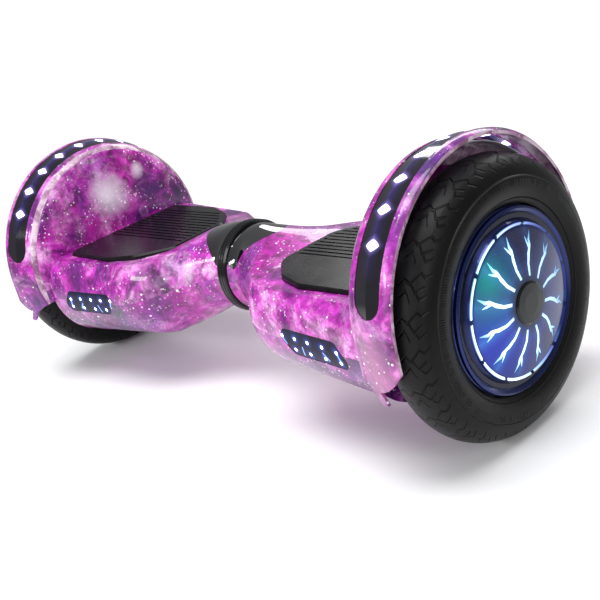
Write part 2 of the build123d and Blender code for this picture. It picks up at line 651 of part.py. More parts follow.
def tyre():
    """Hollow tyre: bead feet on the rim, flat-sided walls and a round crown."""
    crown, side = AXLE_Z, TYRE_HALF_WIDTH
    bead = FLANGE_HALF_WIDTH - 3.5 - 2 * SEAT
    r_mid = mix(FLANGE_RADIUS, crown, 0.32)
    outer = [
        (side - 7, FLANGE_RADIUS + 1.2), (side - 2.6, mix(FLANGE_RADIUS, crown, 0.2)),
        (side - 0.8, mix(FLANGE_RADIUS, crown, 0.39)), (side - 2.2, mix(FLANGE_RADIUS, crown, 0.57)),
        (side - 5.8, mix(FLANGE_RADIUS, crown, 0.74)), (side - 11.5, mix(FLANGE_RADIUS, crown, 0.88)),
    ]
    skin = Spline(*[(WHEEL_X + x, 0, r) for x, r in outer])
    top = ThreePointArc(skin @ 1, (WHEEL_X, 0, crown), mirrored(outer[-1]))
    other = Spline(*[mirrored(p) for p in reversed(outer)])
    inside = [
        (-outer[0][0], outer[0][1]), (-bead, FLANGE_RADIUS + 0.4), (-bead, BEAD_RADIUS + SEAT),
        (-bead + 7, BEAD_RADIUS + SEAT), (-bead + 5, FLANGE_RADIUS + 2), (-side + 7.5, r_mid),
        (-side + 9, crown - 22), (-side + 15, crown - 13.5), (0, crown - 9.0),
    ]
    inside += [(-x, r) for x, r in reversed(inside[:-1])]
    inner = Polyline(*[(WHEEL_X + x, 0, r) for x, r in inside])
    return turned(make_face([skin, top, other, inner]), AXLE_Z, 0, 360)


def mirrored(point):
    return (WHEEL_X - point[0], 0, point[1])


def dome_line(inset):
    """Points of the hub dome from its foot to the centre cap, lowered by inset."""
    points = []
    for k in range(9):
        radius = mix(HUB_DOME_RADIUS, CAP_RADIUS, k / 8)
        rise = 1 - (radius / HUB_DOME_RADIUS) ** 2
        points.append((HUB_DOME_FOOT + (HUB_DOME_TOP - HUB_DOME_FOOT) * rise - inset, radius))
    return points


def bolt_shape(slack):
    """One jagged light slot with a small side fork, seen along the axle, narrowed by slack."""
    strokes = (
        [(23, 0.0, 1.5), (33, -0.9, 1.5), (42, 0.9, 1.9), (49, 4.0, 1.5), (53, 3.4, 1.6), (61, 6.6, 0.5)],
        [(46, 2.6, 1.4), (51, 0.4, 1.3), (56, -1.6, 0.5)],
    )
    faces = []
    for path in strokes:
        left = [(a - w + slack, r) for r, a, w in path]
        right = [(a + w - slack, r) for r, a, w in reversed(path)]
        faces.append(make_face(Polyline(*left, *right, close=True)))
    placed = Plane(origin=(WHEEL_X + 10, 0, AXLE_Z), x_dir=(0, 1, 0), z_dir=(1, 0, 0))
    return extrude(placed * (faces[0] + faces[1]), 40)


def bolt_slots(slack):
    """The ring of light slots around the hub's middle."""
    bolt = bolt_shape(slack)
    return [about_axle(bolt, 360 * (k + 0.35) / BOLT_COUNT) for k in range(BOLT_COUNT)]


def hub_cover():
    """Metallic wheel cap: outer lip, sunk channel, inner rib and a slotted dome."""
    back_face = FLANGE_HALF_WIDTH + SEAT
    channel = back_face + 1.2
    outline = [(24.5, 81.5), (25.5, 79.5), (24, 77), (channel, 75.5), (channel, 71.5), (26, 69), (29, 67.6)]
    outline += dome_line(0)
    outline += list(reversed(dome_line(2.2)))
    outline += [(HUB_DOME_FOOT - 3.5, HUB_DOME_RADIUS + 1), (back_face + 0.6, HUB_DOME_RADIUS + 1)]
    outline += [(back_face, HUB_DOME_RADIUS + 2), (back_face, 81.5)]
    return lathe(at_wheel(outline)).cut(*bolt_slots(0.0))


def hub_light_guide():
    """Clear dome behind the cover whose ribs fill the slots and carry the light out."""
    outline = dome_line(2.2 + SEAT) + list(reversed(dome_line(4.2)))
    plate = lathe(at_wheel([(x, min(r, HUB_DOME_RADIUS - 1.2)) for x, r in outline]))
    cap = lathe(at_wheel(dome_line(0.3) + list(reversed(dome_line(3.4)))))
    ribs = [cap & bolt for bolt in bolt_slots(SEAT)]
    return joined([plate, *ribs])


def centre_cap():
    """Black button in the middle of the hub."""
    foot = dome_line(0)[-1][0]
    return lathe(at_wheel([
        (foot - 4.2, 0), (foot - 4.2, CAP_RADIUS - SEAT), (foot + 0.4, CAP_RADIUS - SEAT),
        (foot + 1.8, CAP_RADIUS - 2), (foot + 2.4, CAP_RADIUS * 0.5), (foot + 2.4, 0),
    ]))


# Pivot and the pieces that only one half has


def pivot_shaft():
    """Hollow shaft pressed in the right half; it turns in the left half's bushes."""
    shaft = disc(-BOSS_END - 5, BOSS_END - 4, SHAFT_RADIUS - SEAT / 2, z=PIVOT_Z)
    shaft += disc(-BOSS_START + LOOSE, BOSS_START - SEAT, THRUST_RADIUS, z=PIVOT_Z)
    clip_groove = ring(-BOSS_END - 2.6, -BOSS_END - 1.0, SHAFT_RADIUS + 1, SHAFT_RADIUS - 1.4, z=PIVOT_Z)
    bore = disc(-BOSS_END - 6, BOSS_END, SHAFT_BORE, z=PIVOT_Z)
    return shaft - clip_groove - bore


def pivot_clip():
    """Open spring ring in the shaft's groove that keeps the halves together."""
    clip = ring(-BOSS_END - 2.5, -BOSS_END - 1.1, SHAFT_RADIUS + 4, SHAFT_RADIUS - 1.4 + SEAT, z=PIVOT_Z)
    return clip - block(-BOSS_END - 4, -BOSS_END, -5, 5, PIVOT_Z, PIVOT_Z + 30)


def pivot_bushes():
    outer = SHAFT_RADIUS + BUSH_WALL
    spans = ((-BOSS_END, -BOSS_END + BUSH_LENGTH), (-BOSS_START - BUSH_LENGTH, -BOSS_START))
    return Compound([
        ring(x0, x1, outer - SEAT / 2, SHAFT_RADIUS + RUNNING, z=PIVOT_Z).solids()[0] for x0, x1 in spans
    ])


def centre_ring():
    """Rubber ring over the joint, with two grooves round it; it is fixed to the left half."""
    left, right, crown = -HALF_START + SEAT, HALF_START - LOOSE, WAIST_RADIUS + 4
    third = (right - left) / 3
    points = [(left, WAIST_RADIUS - 7), (left, crown - 2), (left + 1.4, crown)]
    for k in (1, 2):
        x = left + third * k
        points += [(x - 1.2, crown), (x, crown - 2), (x + 1.2, crown)]
    points += [(right - 1.4, crown), (right, crown - 2), (right, WAIST_RADIUS - 7)]
    return lathe(points, PIVOT_Z)


def mainboard():
    """Control board hung under the right deck, with its heat sink, capacitors and sockets below."""
    x_mid, z = mix(SHOULDER_X, BODY_END, 0.42), DECK_BASE - 8
    pieces = [block(x_mid - 55, x_mid + 55, -40, 40, z - 1.6, z)]
    for dx in (-50, 50):
        for dy in (-35, 35):
            pieces.append(rod_z(z - 0.5, DECK_BASE, 3, x_mid + dx, dy))
    pieces.append(block(x_mid - 45, x_mid - 15, -30, 30, z - 7, z - 1))
    for k in range(7):
        pieces.append(block(x_mid - 44 + 4.2 * k, x_mid - 42 + 4.2 * k, -30, 30, z - 17, z - 5))
    for dy in (-24, 0, 24):
        pieces.append(rod_z(z - 19, z - 1, 7, x_mid + 5, dy))
    for dy in (-27, -9, 9, 27):
        pieces.append(block(x_mid + 36, x_mid + 48, dy - 6, dy + 6, z - 10, z - 1))
    pieces.append(block(x_mid + 18, x_mid + 30, -20, 20, z - 4, z - 1))
    return joined(pieces)


def cell_places():
    """Middles of the cells: two end to end, five abreast, two deep, hung a gap below the deck."""
    x_mid = -mix(SHOULDER_X, BODY_END, 0.46)
    z_mid = DECK_BASE - CASE_GAP - CASE_WALL - CELL_RADIUS - CELL_PITCH / 2
    return [
        (x_mid + dx * (CELL_LENGTH / 2 + 0.4), CELL_PITCH * j, z_mid + dz * CELL_PITCH / 2)
        for dx in (-1, 1) for j in range(-2, 3) for dz in (-1, 1)
    ]


def battery_cells():
    """Twenty cells in two layers, two long and five wide."""
    cells = []
    for x, y, z in cell_places():
        cell = disc(x - CELL_LENGTH / 2, x + CELL_LENGTH / 2 - 0.8, CELL_RADIUS, y, z)
        cell += disc(x, x + CELL_LENGTH / 2, 2.8, y, z)
        cells.append(cell.solids()[0])
    return Compound(cells)


def battery_case():
    """Box with a round bed for every cell, screwed up under the left deck."""
    places = cell_places()
    xs, ys, zs = zip(*places)
    x0, x1 = min(xs) - CELL_LENGTH / 2 - CASE_WALL, max(xs) + CELL_LENGTH / 2 + CASE_WALL
    y1, margin = max(ys) + CELL_RADIUS + CASE_WALL, CELL_RADIUS + CASE_WALL
    z0, z1 = min(zs) - margin, max(zs) + margin
    case = block(x0, x1, -y1, y1, z0, z1)
    tabs = [block(x - 7, x + 7, y - 6, y + 6, z1 - 3, DECK_BASE) for x in (x0 + 9, x1 - 9) for y in (-38, 38)]
    beds = [
        disc(x - CELL_LENGTH / 2 - 0.1, x + CELL_LENGTH / 2 + 0.1, CELL_RADIUS + RUNNING, y, z)
        for x, y, z in places
    ]
    return joined([case, *tabs]).cut(*beds)


def charge_socket():
    """Three-pin round inlet in the left half's back boss, with two ears for its cap."""
    face = port_face()
    x = -PORT_X
    flange = rod_y(face + SEAT, face + 1.6, PORT_BORE + 3.5, x, PORT_Z)
    barrel = rod_y(face - 14, face + 1.6, PORT_BORE + 0.3 - SEAT, x, PORT_Z)
    hinge_z, hinge_y = PORT_Z + HINGE_RISE, face + 3.4
    ears = []
    for side in (-1, 1):
        near, far = sorted((x + side * 4.4, x + side * 7.0))
        ears.append(disc(near, far, HINGE_RADIUS, hinge_y, hinge_z))
        ears.append(block(near, far, face + SEAT, hinge_y, hinge_z - 5, hinge_z + HINGE_RADIUS))
    pin = disc(x - 6, x + 6, 1.0, hinge_y, hinge_z)
    shell = joined([flange, barrel, *ears, pin]).cut(rod_y(face - 12, face + 3, SOCKET_BORE, x, PORT_Z))
    pins = []
    for k in range(3):
        angle = math.radians(90 + 120 * k)
        spot = (x + 3 * math.cos(angle), PORT_Z + 3 * math.sin(angle))
        pins.append(rod_y(face - 13, face - 4.5, 0.9, *spot))
    return joined([shell, *pins])


def charge_cap():
    """Rubber flap over the inlet, with a plug on its back and a knuckle on the ears' pin."""
    face = port_face() + 1.6
    x = -PORT_X
    hinge_z, hinge_y = PORT_Z + HINGE_RISE, port_face() + 3.4
    lid = rod_y(face + CAP_GAP, face + 3.2, PORT_BORE + 3.2, x, PORT_Z)
    tongue = block(x - 4, x + 4, face + CAP_GAP, face + 3.2, PORT_Z + 5, hinge_z)
    knuckle = disc(x - 4, x + 4, HINGE_RADIUS, hinge_y, hinge_z)
    tab = block(x - 5, x + 5, face + CAP_GAP + 0.8, face + 3.2, PORT_Z - PORT_BORE - 6.5, PORT_Z - PORT_BORE)
    cap = joined([lid, tongue, knuckle, tab])
    cuts = [disc(x - 5, x + 5, 1.0 + RUNNING, hinge_y, hinge_z)]
    for near, far in ((x - 20, x - 4), (x + 4, x + 20)):
        cuts.append(block(near, far, face - 5, face + 10, hinge_z - 6, hinge_z + 5))
    return cap.cut(*cuts)


def power_button():
    """Round push button in the right half's back boss."""
    face = port_face()
    cap = rod_y(face - 8, face + 1.8, PORT_BORE, PORT_X, PORT_Z)
    cap = chamfer(cap.edges().group_by(Axis.Y)[-1], 0.8)
    stem = rod_y(face - 18, face - 8, PORT_BORE - 3, PORT_X, PORT_Z)
    dish = rod_y(face + 1.2, face + 3, PORT_BORE - 3, PORT_X, PORT_Z)
    return joined([cap, stem]) - dish


def build():
    outer = body_solid(HALF_START, BODY_END, 0)
    inner = body_solid(HALF_START + WALL, BODY_END - WALL, WALL)
    skin = body_solid(HALF_START - 1, BODY_END + 1, TRIM_DEPTH)
    upper = upper_shell(outer, inner, skin)
    lower = lower_shell(outer, inner)
    sides = {
        "upper_shell": upper, "lower_shell": lower, "waist_trim": waist_trim(outer, skin),
        "arch_light_cover": light_band(0.0, 0.3, COVER_THICKNESS), "arch_led_strip": arch_led_strip(),
        "headlight_lens": headlight_lens(), "headlight_board": headlight_board(),
        "foot_pad": foot_pad(), "sensor_board": sensor_board(), "axle_clamp": axle_clamp(),
        "clamp_bolts": clamp_bolts(), "shell_screws": shell_screws(), "axle": axle(), "stator": stator(),
        "magnet_ring": magnet_ring(), "rim": rim(), "motor_cover": motor_cover(),
        "hub_screws": hub_screws(), "wheel_bearings": wheel_bearings(), "tyre": tyre(),
        "hub_cover": hub_cover(), "hub_light_guide": hub_light_guide(), "centre_cap": centre_cap(),
    }
    parts = {}
    for name, shape in sides.items():
        parts["right_" + name] = shape
        parts["left_" + name] = mirror(shape, Plane.YZ)
    parts["right_frame"] = frame(SHAFT_RADIUS + SEAT / 2)
    parts["left_frame"] = mirror(frame(SHAFT_RADIUS + BUSH_WALL), Plane.YZ)
    parts["pivot_shaft"] = pivot_shaft()
    parts["pivot_clip"] = pivot_clip()
    parts["pivot_bushes"] = pivot_bushes()
    parts["centre_ring"] = centre_ring()
    parts["mainboard"] = mainboard()
    parts["battery_cells"] = battery_cells()
    parts["battery_case"] = battery_case()
    parts["charge_socket"] = charge_socket()
    parts["charge_cap"] = charge_cap()
    parts["power_button"] = power_button()
    return parts


for name, shape in build().items():
    export_step(shape, f"parts/{name}.step")
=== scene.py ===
"""Looks for a self-balancing two-wheel board: its materials, floor, lights and camera.

The board is level, its axle along X, its front facing -Y. Lengths are in metres.
"""

import math

import bmesh
import bpy
from mathutils import Matrix, Vector

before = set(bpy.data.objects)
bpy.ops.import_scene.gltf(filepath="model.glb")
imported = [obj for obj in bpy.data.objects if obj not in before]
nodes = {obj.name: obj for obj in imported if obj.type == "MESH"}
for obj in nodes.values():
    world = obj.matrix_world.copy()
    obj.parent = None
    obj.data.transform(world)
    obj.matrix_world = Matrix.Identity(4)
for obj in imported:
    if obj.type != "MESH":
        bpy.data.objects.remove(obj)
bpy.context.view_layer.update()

AXLE_Z = 0.127
WHEEL_X = 0.320
TYRE_RADIUS = AXLE_Z
ARCH_Z = AXLE_Z + 0.011
STRIP_X = WHEEL_X - 0.0215
LAMP_X = 0.196
LAMP_Z = AXLE_Z - 0.015
PAD_GROOVE_Z = 0.1608
SIDES = ("left", "right")
QUARTER_TURN = math.pi / 2
FULL_TURN = 2 * math.pi

# The film: its cloud colours from dark to light, as (brightness of the cloud, colour).
CLOUDS = (
    (0.37, (0.014, 0.002, 0.040)), (0.44, (0.090, 0.005, 0.135)), (0.50, (0.260, 0.010, 0.260)),
    (0.55, (0.480, 0.030, 0.410)), (0.61, (0.720, 0.230, 0.640)), (0.70, (0.980, 0.760, 0.960)),
)
LINING = ((0.42, (0.22, 0.08, 0.18)), (0.52, (0.48, 0.30, 0.43)), (0.60, (0.66, 0.52, 0.62)))
SPECK_WHITE = (1.0, 0.93, 1.0)

# Arch lights: one in the middle of the arch and four down each side.
LED_PITCH = math.radians(13.2)
LEDS_EACH_SIDE = 4
STRIP_RADIUS = 0.134
LED_HALF_LENGTH = 0.0046
LED_HALF_WIDTH = 0.0074
BAND_HALF_WIDTH = 0.0105

# Headlight: points as (along, up) and bars as (along, up, lean), from the lens's middle.
LAMP_SPOTS = (
    (-0.045, 0.0058), (-0.026, 0.0052), (-0.007, 0.0048), (0.014, 0.0045), (0.034, 0.0030),
    (-0.030, -0.0072), (-0.008, -0.0078), (0.014, -0.0078), (0.036, -0.0075),
)
LAMP_BARS = (
    (-0.0435, 0.0016, 0.55), (-0.018, -0.0066, -0.15), (0.016, -0.0052, 0.7), (0.0355, -0.0025, 0.25),
)

# Hub: twelve jagged lights, a dashed ring of painted light at the dome's edge, the middles of a green and a
# blue pool of painted light, and a sunk channel outside it with painted shade.
BOLTS = 12
BOLT_TURN = 0.35
DASHES = 11
DASH_TURN = 0.12
DASH_RADIUS = 0.0668
DOME_EDGE = (0.0655, 0.0630)
PAINTED_GREEN_POOL = (0.0, -0.040, 0.036)
PAINTED_BLUE_POOL = (0.0, -0.050, -0.012)

# Tread: cuts round the tyre, each made of strokes. A stroke is (from, to, start, end): how far it runs
# across the tread from its middle, in metres, and where it starts and ends along the tyre, in millimetres.
TREADS = 25
TREAD_STROKES = (
    (0.000, 0.007, 0.0, 6.0), (0.007, 0.013, 6.0, 2.5), (0.013, 0.024, 2.5, 12.5), (0.024, 0.029, 12.5, 9.5),
    (0.029, 0.037, 9.5, 14.0), (0.014, 0.020, 3.5, -4.0), (0.020, 0.030, -4.0, 1.5),
    (0.003, 0.010, -9.0, -3.0), (0.010, 0.015, -3.0, -12.0), (0.026, 0.034, -9.5, -5.0),
    (0.022, 0.026, -5.5, -9.5),
)
STROKE_END = 0.0004
RIB_WAVES = 300.0


# Building blocks for materials


class Recipe:
    """A material under construction: calls add nodes, and sockets passed as inputs become links."""

    def __init__(self, name):
        self.material = bpy.data.materials.new(name)
        self.material.use_nodes = True
        self.tree = self.material.node_tree
        self.shader = self.tree.nodes["Principled BSDF"]
        self.place = self.add("ShaderNodeTexCoord").outputs["Object"]

    def add(self, kind, inputs=None, **settings):
        node = self.tree.nodes.new(kind)
        for key, value in settings.items():
            setattr(node, key, value)
        for key, value in (inputs or {}).items():
            self.give(node.inputs[key], value)
        return node

    def give(self, socket, value):
        if isinstance(value, bpy.types.NodeSocket):
            self.tree.links.new(value, socket)
        else:
            socket.default_value = value

    def math(self, operation, a, b=0.0, clamp=False):
        return self.add("ShaderNodeMath", {0: a, 1: b}, operation=operation, use_clamp=clamp).outputs[0]

    def chain(self, operation, values):
        total = values[0]
        for value in values[1:]:
            total = self.math(operation, total, value)
        return total

    def plus(self, *values):
        return self.chain("ADD", values)

    def minus(self, a, b):
        return self.math("SUBTRACT", a, b)

    def times(self, *values):
        return self.chain("MULTIPLY", values)

    def most(self, *values):
        return self.chain("MAXIMUM", values)

    def power(self, value, exponent):
        return self.math("POWER", value, exponent)

    def size(self, value):
        return self.math("ABSOLUTE", value)

    def long_side(self, a, b):
        """The length of the long side of a right triangle with sides a and b."""
        return self.math("SQRT", self.plus(self.times(a, a), self.times(b, b)))

    def off_whole(self, value):
        """How far a value is from the nearest whole number, at most a half."""
        return self.minus(value, self.math("ROUND", value))

    def axes(self, vector=None):
        parts = self.add("ShaderNodeSeparateXYZ", {0: vector or self.place})
        return parts.outputs[0], parts.outputs[1], parts.outputs[2]

    def vector(self, x, y, z):
        return self.add("ShaderNodeCombineXYZ", {0: x, 1: y, 2: z}).outputs[0]

    def distance(self, place, point):
        return self.add("ShaderNodeVectorMath", {0: place, 1: point}, operation="DISTANCE").outputs["Value"]

    def moved(self, shift, turn=(0, 0, 0)):
        inputs = {"Vector": self.place, "Location": shift, "Rotation": turn}
        return self.add("ShaderNodeMapping", inputs).outputs[0]

    def noise(self, scale, detail=3.0, rough=0.5, twist=0.0, vector=None):
        inputs = {"Vector": vector or self.place, "Scale": scale, "Detail": detail, "Roughness": rough}
        inputs["Distortion"] = twist
        return self.add("ShaderNodeTexNoise", inputs).outputs["Fac"]

    def ramp(self, factor, stops):
        node = self.add("ShaderNodeValToRGB", {"Fac": factor})
        band = node.color_ramp
        while len(band.elements) < len(stops):
            band.elements.new(0.5)
        for element, (position, colour) in zip(band.elements, stops):
            element.position = position
            element.color = (*colour, 1.0)
        return node.outputs["Color"]

    def spread(self, value, low, high, out_low=0.0, out_high=1.0):
        """Maps low..high to out_low..out_high, held at both ends. Low may be above high."""
        inputs = {"Value": value, "From Min": low, "From Max": high, "To Min": out_low, "To Max": out_high}
        return self.add("ShaderNodeMapRange", inputs, clamp=True).outputs["Result"]

    def uneven(self, noise, low, high):
        """A noise stretched to run from low to high."""
        return self.spread(noise, 0.3, 0.7, low, high)

    def mix(self, factor, a, b, blend="MIX"):
        node = self.add("ShaderNodeMix", data_type="RGBA", blend_type=blend)
        self.give(node.inputs["Factor"], factor)
        self.give(node.inputs["A"], a if isinstance(a, bpy.types.NodeSocket) else (*a, 1.0))
        self.give(node.inputs["B"], b if isinstance(b, bpy.types.NodeSocket) else (*b, 1.0))
        return node.outputs["Result"]

    def bump(self, height, strength, distance):
        inputs = {"Height": height, "Strength": strength, "Distance": distance}
        return self.add("ShaderNodeBump", inputs).outputs[0]

    def finish(self, **values):
        """Sets the shader's sockets by their names, with _ for spaces, and returns the material."""
        for key, value in values.items():
            self.give(self.shader.inputs[key.replace("_", " ")], value)
        return self.material


def polar(r, centre_z):
    """Distance from the X line at centre_z, the angle up from the front horizon, then x, y and the rise."""
    x, y, z = r.axes()
    rise = r.minus(z, centre_z)
    return r.long_side(y, rise), r.math("ARCTAN2", rise, r.times(y, -1.0)), x, y, rise


def ridge(r, value, centre, width):
    """1 at the centre, falling to 0 at width either side."""
    return r.spread(r.size(r.minus(value, centre)), width, 0.0)


def stars(r, scale, reach):
    """Small round specks of uneven size, at most one in each cell."""
    cells = r.add("ShaderNodeTexVoronoi", {"Vector": r.place, "Scale": scale})
    chance = r.axes(cells.outputs["Color"])[0]
    radius = r.times(r.power(chance, 1.8), reach)
    return r.math("DIVIDE", r.minus(radius, cells.outputs["Distance"]), reach * 0.25, clamp=True)


# Printed film under clear gloss, with painted highlights and painted shade on the far dome


def cloud_glow(r, centre, reach):
    """A soft round cloud about a point, ragged at its edge. Also used for painted highlights and painted
    shade.
    """
    ragged = r.times(r.minus(r.noise(26.0, 6.0, 0.65), 0.5), reach * 1.3)
    return r.spread(r.plus(r.distance(r.place, centre), ragged), reach, reach * 0.1)


def nebula(r, seed, pale):
    """Layered purple clouds. A larger pale gives more of the light ones."""
    a, b, c = seed
    drift = r.moved(seed)
    big = r.noise(11.0, 7.0, 0.62, 1.1, drift)
    patch = r.noise(23.0, 6.0, 0.6, 0.8, r.moved((b, c, a)))
    base = r.ramp(r.plus(r.times(big, 0.72), r.times(patch, 0.28), pale), CLOUDS)
    hot = r.spread(r.noise(7.5, 3.0, 0.5, 0.4, r.moved((3.1, a, 1.7))), 0.50, 0.64)
    base = r.mix(r.times(hot, 0.55), base, (0.44, 0.010, 0.30))
    violet = r.spread(r.noise(8.5, 3.0, 0.5, 0.5, r.moved((c, 5.3, 0.4))), 0.53, 0.66)
    base = r.mix(r.times(violet, 0.6), base, (0.120, 0.030, 0.26))
    smoke = r.noise(19.0, 8.0, 0.7, 1.6, r.moved((b, 0.2, 7.0), turn=(0.4, 0.6, 0.2)))
    base = r.mix(r.times(r.spread(smoke, 0.54, 0.78), 0.7), base, (0.86, 0.50, 0.84))
    murk = r.spread(r.noise(14.0, 6.0, 0.65, 1.0, r.moved((a, 2.2, b))), 0.54, 0.68)
    base = r.mix(r.times(murk, 0.8), base, (0.022, 0.002, 0.050))
    mottle = r.spread(r.noise(75.0, 7.0, 0.7, 0.9, drift), 0.36, 0.62, 0.38, 1.35)
    return r.mix(1.0, base, r.vector(mottle, mottle, mottle), "MULTIPLY")


def under_arch(r):
    """1 on the inside of the wheel arch, below the middle of its skin."""
    radius, _, x, _, _ = polar(r, ARCH_Z)
    side = r.size(x)
    skin = r.spread(side, 0.281, 0.314, 0.1275, 0.1340)
    return r.times(r.math("LESS_THAN", radius, skin), r.math("GREATER_THAN", side, 0.2685))


def shell_film(name, seed, pale, clouds=()):
    """Nebula, single clouds as (centre, reach, colour, strength), some of them painted highlights and
    painted shade, white specks, and a pale arch lining.
    """
    r = Recipe(name)
    base = nebula(r, seed, pale)
    for centre, reach, colour, strength in clouds:
        base = r.mix(r.times(cloud_glow(r, centre, reach), strength), base, colour)
    drift = r.noise(9.0, 4.0, 0.55, 0.6, r.moved(seed))
    dust = r.times(stars(r, 300.0, 0.38), r.spread(drift, 0.40, 0.54), 0.75)
    base = r.mix(r.most(stars(r, 135.0, 0.20), stars(r, 62.0, 0.115), dust), base, SPECK_WHITE)
    base = r.mix(under_arch(r), base, r.ramp(r.noise(40.0, 6.0, 0.65, 1.0), LINING))
    return r.finish(
        Base_Color=base, Roughness=r.uneven(drift, 0.26, 0.36), Specular_IOR_Level=0.3, Coat_Weight=0.7,
        Coat_Roughness=0.03, Normal=r.bump(r.noise(900.0, 2.0), 0.03, 0.0002),
    )


# Simple finishes


def satin(name, colour, roughness, metallic=0.0, grain=350.0, depth=0.05, coat=0.0, shine=0.5):
    """One colour with a little mottling, uneven gloss and fine grain."""
    r = Recipe(name)
    darker = [c * 0.85 for c in colour]
    lighter = [min(1.0, c * 1.15 + 0.002) for c in colour]
    base = r.mix(r.spread(r.noise(38.0, 4.0, 0.6), 0.35, 0.65), darker, lighter)
    rough = r.uneven(r.noise(120.0, 5.0, 0.6), roughness - 0.06, roughness + 0.06)
    return r.finish(
        Base_Color=base, Metallic=metallic, Roughness=rough, Coat_Weight=coat, Coat_Roughness=0.04,
        Specular_IOR_Level=shine, Normal=r.bump(r.noise(grain, 3.0), depth, 0.0004),
    )


def turned_metal(name, colour, roughness=0.25):
    """Machined metal with fine rings about the axle."""
    r = Recipe(name)
    radius, _, x, _, _ = polar(r, AXLE_Z)
    rings = r.noise(1.0, 2.0, 0.6, 0.0, r.vector(r.times(radius, 1500.0), r.times(x, 1500.0), 0.0))
    return r.finish(
        Base_Color=r.mix(rings, [c * 0.75 for c in colour], colour), Metallic=1.0,
        Roughness=r.uneven(rings, roughness, roughness + 0.15), Normal=r.bump(rings, 0.08, 0.0003),
    )


def gloss_black():
    r = Recipe("piano_black")
    haze = r.noise(60.0, 4.0, 0.6)
    return r.finish(
        Base_Color=r.mix(haze, (0.001, 0.001, 0.0013), (0.004, 0.004, 0.005)),
        Roughness=r.uneven(haze, 0.03, 0.09), Specular_IOR_Level=0.5, Coat_Weight=1.0,
        Coat_Roughness=0.02, Coat_IOR=1.9, Normal=r.bump(r.noise(300.0, 2.0), 0.02, 0.0002),
    )


def pad_rubber():
    """Satin moulded rubber with fine grain, with painted shade darkening it down in its grooves and sides.
    """
    r = Recipe("pad_rubber")
    blotch = r.noise(30.0, 5.0, 0.6)
    base = r.mix(blotch, (0.003, 0.003, 0.0033), (0.008, 0.008, 0.0085))
    _, _, z = r.axes()
    # Painted shade: below the groove line the rubber is painted darker.
    low = r.spread(z, PAD_GROOVE_Z + 0.0004, PAD_GROOVE_Z - 0.0004)
    return r.finish(
        Base_Color=r.mix(low, base, (0.002, 0.002, 0.0025)), Roughness=r.uneven(blotch, 0.20, 0.32),
        Specular_IOR_Level=0.2, Normal=r.bump(r.noise(1400.0, 2.0, 0.6), 0.05, 0.0002),
    )


# Lights behind the arch cover, the headlight lens and the hub, and painted light and shade on the hub's blue
# parts


def arch_cover():
    """Smoked gloss strip with a row of bright diamond lights and a violet glow between them."""
    r = Recipe("arch_light_cover")
    _, angle, x, _, _ = polar(r, ARCH_Z)
    off = r.size(r.minus(r.size(x), STRIP_X))
    from_top = r.minus(angle, QUARTER_TURN)
    along = r.size(r.times(r.off_whole(r.math("DIVIDE", from_top, LED_PITCH)), LED_PITCH * STRIP_RADIUS))
    diamond = r.plus(
        r.power(r.math("DIVIDE", along, LED_HALF_LENGTH), 1.25),
        r.power(r.math("DIVIDE", off, LED_HALF_WIDTH), 1.25),
    )
    lit = r.math("LESS_THAN", r.size(from_top), LED_PITCH * (LEDS_EACH_SIDE + 0.5))
    spot = r.times(r.spread(diamond, 1.25, 0.75), lit)
    halo = r.times(r.power(r.spread(diamond, 3.2, 0.8), 2.0), lit)
    fade = r.spread(r.size(from_top), LED_PITCH * (LEDS_EACH_SIDE + 1), LED_PITCH * LEDS_EACH_SIDE)
    patchy = r.spread(r.noise(70.0, 4.0, 0.6), 0.35, 0.65, 0.35, 1.0)
    band = r.times(r.power(r.spread(off, BAND_HALF_WIDTH, 0.0), 1.3), fade, patchy)
    glow = r.mix(r.times(halo, 0.75), (0.03, 0.015, 0.16), (0.42, 0.32, 1.0))
    haze = r.noise(50.0, 4.0, 0.6)
    return r.finish(
        Base_Color=r.mix(haze, (0.004, 0.004, 0.006), (0.012, 0.010, 0.016)),
        Roughness=r.uneven(haze, 0.06, 0.14), Specular_IOR_Level=0.2, Coat_Weight=0.45, Coat_Roughness=0.02,
        Emission_Color=r.mix(spot, glow, (1.0, 0.97, 1.0)),
        Emission_Strength=r.plus(r.times(spot, 9.0), r.times(halo, 0.7), r.times(band, 1.1)),
    )


def lamp_lens():
    """Dark blue gloss lens with white points and short blue bars glowing behind it."""
    r = Recipe("headlight_lens")
    x, _, z = r.axes()
    across, up = r.minus(r.size(x), LAMP_X), r.minus(z, LAMP_Z)
    spots, halos, bars = [], [], []
    for spot_x, spot_z in LAMP_SPOTS:
        away = r.long_side(r.minus(across, spot_x), r.minus(up, spot_z))
        spots.append(r.spread(away, 0.0021, 0.0013))
        halos.append(r.power(r.spread(away, 0.0085, 0.0010), 2.0))
    for bar_x, bar_z, lean in LAMP_BARS:
        dx, dz = r.minus(across, bar_x), r.minus(up, bar_z)
        beside = r.size(r.plus(r.times(dx, math.cos(lean)), r.times(dz, math.sin(lean))))
        along = r.size(r.minus(r.times(dz, math.cos(lean)), r.times(dx, math.sin(lean))))
        bars.append(r.times(r.spread(beside, 0.0016, 0.0004), r.spread(along, 0.0062, 0.0046)))
    spot, halo, bar = r.most(*spots), r.most(*halos), r.most(*bars)
    deep = r.spread(r.noise(120.0, 3.0, 0.6), 0.4, 0.7)
    colour = r.mix(halo, (0.01, 0.02, 0.30), (0.10, 0.20, 1.0))
    colour = r.mix(bar, colour, (0.25, 0.45, 1.0))
    strength = r.plus(r.times(spot, 8.0), r.times(halo, 0.8), r.times(bar, 1.6), r.times(deep, 0.22))
    return r.finish(
        Base_Color=r.mix(deep, (0.001, 0.001, 0.004), (0.002, 0.003, 0.020)),
        Roughness=r.spread(deep, 0.0, 1.0, 0.08, 0.14), Specular_IOR_Level=0.08, Coat_Weight=0.15,
        Coat_Roughness=0.02, Emission_Color=r.mix(spot, colour, (1.0, 1.0, 1.0)), Emission_Strength=strength,
    )


